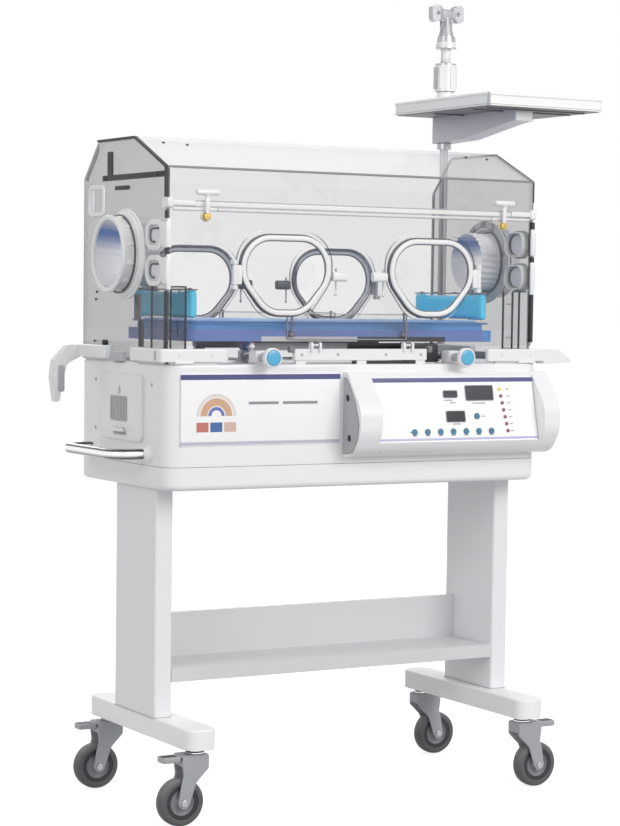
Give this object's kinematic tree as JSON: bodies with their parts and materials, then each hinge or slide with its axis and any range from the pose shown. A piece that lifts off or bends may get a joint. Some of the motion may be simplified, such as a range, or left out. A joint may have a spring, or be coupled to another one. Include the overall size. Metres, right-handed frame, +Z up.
{
  "type": "infant incubator",
  "caption": "Clear double-ended cabin with hand and iris ports over a tilting bed, on a cabinet with a control panel, a pole tray and a stand on braked casters.",
  "frame": {"origin": "on the floor under the middle of the base cabinet", "axes": "+Z up, +X to the user's right when facing the control panel, +Y to the back"},
  "size_m": [1.234, 0.5575, 1.782],
  "materials": {
    "cabinet_white": "satin",
    "frame_white": "satin",
    "panel_white": "satin",
    "display_dark": "gloss",
    "key_blue": "satin",
    "lamp_red": "gloss",
    "chrome": "polished",
    "clear_acrylic": "clear",
    "trim_white": "satin",
    "sleeve_grey": "soft",
    "knob_blue": "satin",
    "steel": "brushed",
    "bed_blue": "satin",
    "mattress_blue": "coated cloth",
    "bolster_blue": "coated cloth",
    "tray_white": "satin",
    "fan_grey": "matte",
    "fork_grey": "satin",
    "tyre_grey": "matte"
  },
  "bodies": {
    "base": {"base_tray": "cabinet_white", "base_housing": "cabinet_white", "deck_plate": "cabinet_white", "column_left": "frame_white", "column_right": "frame_white", "foot_left": "frame_white", "foot_right": "frame_white", "storage_shelf": "frame_white", "control_housing": "cabinet_white", "control_panel": "panel_white", "display_windows": "display_dark", "panel_keys": "key_blue", "status_lamps": "lamp_red", "push_handle_left": "chrome", "push_handle_right": "chrome", "hood_shell": "clear_acrylic", "hood_end_left": "clear_acrylic", "hood_end_right": "clear_acrylic", "tube_grommets": "trim_white", "iris_flanges": "trim_white", "iris_sleeves": "sleeve_grey", "door_hinge_rail": "trim_white", "corner_mouldings": "trim_white", "tilt_bearings": "trim_white", "accessory_pole": "steel"},
    "front_door": {"front_door": "clear_acrylic"},
    "water_tank": {"water_tank": "trim_white"},
    "bed_cradle": {"bed_cradle": "trim_white"},
    "bed": {"mattress_tray": "bed_blue", "mattress": "mattress_blue", "end_bolsters": "bolster_blue", "bed_guards": "clear_acrylic"},
    "swivel_tray": {"tray_arm": "tray_white", "instrument_tray": "tray_white"},
    "hook_rod": {"hook_rod": "steel"},
    "fan_impeller": {"fan_impeller": "fan_grey"},
    "port_door_front_left": {"port_door_front_left": "clear_acrylic"},
    "port_door_rear_left": {"port_door_rear_left": "clear_acrylic"},
    "door_latch_left": {"door_latch_left": "trim_white"},
    "iris_ring_left": {"iris_ring_left": "trim_white"},
    "tilt_knob_left": {"tilt_knob_left": "knob_blue"},
    "lift_post_left": {"lift_post_left": "steel"},
    "port_door_front_right": {"port_door_front_right": "clear_acrylic"},
    "port_door_rear_right": {"port_door_rear_right": "clear_acrylic"},
    "door_latch_right": {"door_latch_right": "trim_white"},
    "iris_ring_right": {"iris_ring_right": "trim_white"},
    "tilt_knob_right": {"tilt_knob_right": "knob_blue"},
    "lift_post_right": {"lift_post_right": "steel"},
    "caster_front_left_fork": {"caster_front_left_fork": "fork_grey"},
    "caster_front_left_wheel": {"caster_front_left_wheel": "tyre_grey"},
    "caster_front_left_brake": {"caster_front_left_brake": "fork_grey"},
    "caster_front_right_fork": {"caster_front_right_fork": "fork_grey"},
    "caster_front_right_wheel": {"caster_front_right_wheel": "tyre_grey"},
    "caster_front_right_brake": {"caster_front_right_brake": "fork_grey"},
    "caster_rear_left_fork": {"caster_rear_left_fork": "fork_grey"},
    "caster_rear_left_wheel": {"caster_rear_left_wheel": "tyre_grey"},
    "caster_rear_left_brake": {"caster_rear_left_brake": "fork_grey"},
    "caster_rear_right_fork": {"caster_rear_right_fork": "fork_grey"},
    "caster_rear_right_wheel": {"caster_rear_right_wheel": "tyre_grey"},
    "caster_rear_right_brake": {"caster_rear_right_brake": "fork_grey"}
  },
  "joints": [
    {"name": "front_door_swing", "type": "hinge", "parent": "base", "child": "front_door", "pos_m": [0, -0.215, 0.984], "axis": [1, 0, 0], "range_deg": [0, 90]},
    {"name": "water_tank_slide", "type": "slide", "parent": "base", "child": "water_tank", "axis": [-1, 0, 0], "range_m": [0, 0.12]},
    {"name": "bed_raise_left", "type": "hinge", "parent": "base", "child": "bed_cradle", "pos_m": [0.226, 0, 0.978], "axis": [0, 1, 0], "range_deg": [0, 8]},
    {"name": "bed_raise_right", "type": "hinge", "parent": "bed_cradle", "child": "bed", "pos_m": [-0.226, 0, 0.978], "axis": [0, -1, 0], "range_deg": [0, 8]},
    {"name": "tray_swivel", "type": "hinge", "parent": "base", "child": "swivel_tray", "pos_m": [0.495, 0.238, 1.48], "axis": [0, 0, 1], "range_deg": [-90, 90]},
    {"name": "hook_rod_slide", "type": "slide", "parent": "base", "child": "hook_rod", "axis": [0, 0, 1], "range_m": [0, 0.24]},
    {"name": "fan_spin", "type": "hinge", "parent": "base", "child": "fan_impeller", "pos_m": [0, 0.02, 0.915], "axis": [0, 0, 1], "continuous": true},
    {"name": "port_door_front_left_swing", "type": "hinge", "parent": "front_door", "child": "port_door_front_left", "pos_m": [-0.303, -0.204, 1.129], "axis": [0, 0, -1], "range_deg": [0, 110]},
    {"name": "port_door_rear_left_swing", "type": "hinge", "parent": "base", "child": "port_door_rear_left", "pos_m": [-0.303, 0.228, 1.111], "axis": [0, 0, 1], "range_deg": [0, 110]},
    {"name": "door_latch_left_turn", "type": "hinge", "parent": "front_door", "child": "door_latch_left", "pos_m": [-0.368, -0.2, 1.247], "axis": [0, -1, 0], "range_deg": [0, 90]},
    {"name": "iris_ring_left_turn", "type": "hinge", "parent": "base", "child": "iris_ring_left", "pos_m": [-0.48, 0, 1.17], "axis": [-1, 0, 0], "range_deg": [0, 180]},
    {"name": "tilt_knob_left_turn", "type": "hinge", "parent": "base", "child": "tilt_knob_left", "pos_m": [-0.24, -0.2, 0.958], "axis": [0, -1, 0], "range_deg": [0, 364]},
    {"name": "lift_post_left_slide", "type": "slide", "parent": "base", "child": "lift_post_left", "axis": [0, 0, 1], "range_m": [0, 0.0634]},
    {"name": "port_door_front_right_swing", "type": "hinge", "parent": "front_door", "child": "port_door_front_right", "pos_m": [0.303, -0.204, 1.129], "axis": [0, 0, 1], "range_deg": [0, 110]},
    {"name": "port_door_rear_right_swing", "type": "hinge", "parent": "base", "child": "port_door_rear_right", "pos_m": [0.303, 0.228, 1.111], "axis": [0, 0, -1], "range_deg": [0, 110]},
    {"name": "door_latch_right_turn", "type": "hinge", "parent": "front_door", "child": "door_latch_right", "pos_m": [0.368, -0.2, 1.247], "axis": [0, 1, 0], "range_deg": [0, 90]},
    {"name": "iris_ring_right_turn", "type": "hinge", "parent": "base", "child": "iris_ring_right", "pos_m": [0.48, 0, 1.17], "axis": [1, 0, 0], "range_deg": [0, 180]},
    {"name": "tilt_knob_right_turn", "type": "hinge", "parent": "base", "child": "tilt_knob_right", "pos_m": [0.24, -0.2, 0.958], "axis": [0, 1, 0], "range_deg": [0, 364]},
    {"name": "lift_post_right_slide", "type": "slide", "parent": "base", "child": "lift_post_right", "axis": [0, 0, 1], "range_m": [0, 0.0634]},
    {"name": "caster_front_left_swivel", "type": "hinge", "parent": "base", "child": "caster_front_left_fork", "pos_m": [-0.409, -0.252, 0.17], "axis": [0, 0, 1], "continuous": true},
    {"name": "caster_front_left_roll", "type": "hinge", "parent": "caster_front_left_fork", "child": "caster_front_left_wheel", "pos_m": [-0.443, -0.252, 0.05], "axis": [0, 1, 0], "continuous": true},
    {"name": "caster_front_left_brake_press", "type": "hinge", "parent": "caster_front_left_fork", "child": "caster_front_left_brake", "pos_m": [-0.443, -0.252, 0.14], "axis": [0, -1, 0], "range_deg": [0, 18]},
    {"name": "caster_front_right_swivel", "type": "hinge", "parent": "base", "child": "caster_front_right_fork", "pos_m": [0.409, -0.252, 0.17], "axis": [0, 0, 1], "continuous": true},
    {"name": "caster_front_right_roll", "type": "hinge", "parent": "caster_front_right_fork", "child": "caster_front_right_wheel", "pos_m": [0.443, -0.252, 0.05], "axis": [0, 1, 0], "continuous": true},
    {"name": "caster_front_right_brake_press", "type": "hinge", "parent": "caster_front_right_fork", "child": "caster_front_right_brake", "pos_m": [0.443, -0.252, 0.14], "axis": [0, 1, 0], "range_deg": [0, 18]},
    {"name": "caster_rear_left_swivel", "type": "hinge", "parent": "base", "child": "caster_rear_left_fork", "pos_m": [-0.409, 0.16, 0.17], "axis": [0, 0, 1], "continuous": true},
    {"name": "caster_rear_left_roll", "type": "hinge", "parent": "caster_rear_left_fork", "child": "caster_rear_left_wheel", "pos_m": [-0.443, 0.16, 0.05], "axis": [0, 1, 0], "continuous": true},
    {"name": "caster_rear_left_brake_press", "type": "hinge", "parent": "caster_rear_left_fork", "child": "caster_rear_left_brake", "pos_m": [-0.443, 0.16, 0.14], "axis": [0, -1, 0], "range_deg": [0, 18]},
    {"name": "caster_rear_right_swivel", "type": "hinge", "parent": "base", "child": "caster_rear_right_fork", "pos_m": [0.409, 0.16, 0.17], "axis": [0, 0, 1], "continuous": true},
    {"name": "caster_rear_right_roll", "type": "hinge", "parent": "caster_rear_right_fork", "child": "caster_rear_right_wheel", "pos_m": [0.443, 0.16, 0.05], "axis": [0, 1, 0], "continuous": true},
    {"name": "caster_rear_right_brake_press", "type": "hinge", "parent": "caster_rear_right_fork", "child": "caster_rear_right_brake", "pos_m": [0.443, 0.16, 0.14], "axis": [0, 1, 0], "range_deg": [0, 18]}
  ],
  "couplings": [
    {"joint": "tilt_knob_left_turn", "follows": "bed_raise_left", "ratio": 45.2},
    {"joint": "lift_post_left_slide", "follows": "bed_raise_left", "m_per_rad": 0.452},
    {"joint": "tilt_knob_right_turn", "follows": "bed_raise_right", "ratio": 45.2},
    {"joint": "lift_post_right_slide", "follows": "bed_raise_right", "m_per_rad": 0.452}
  ]
}
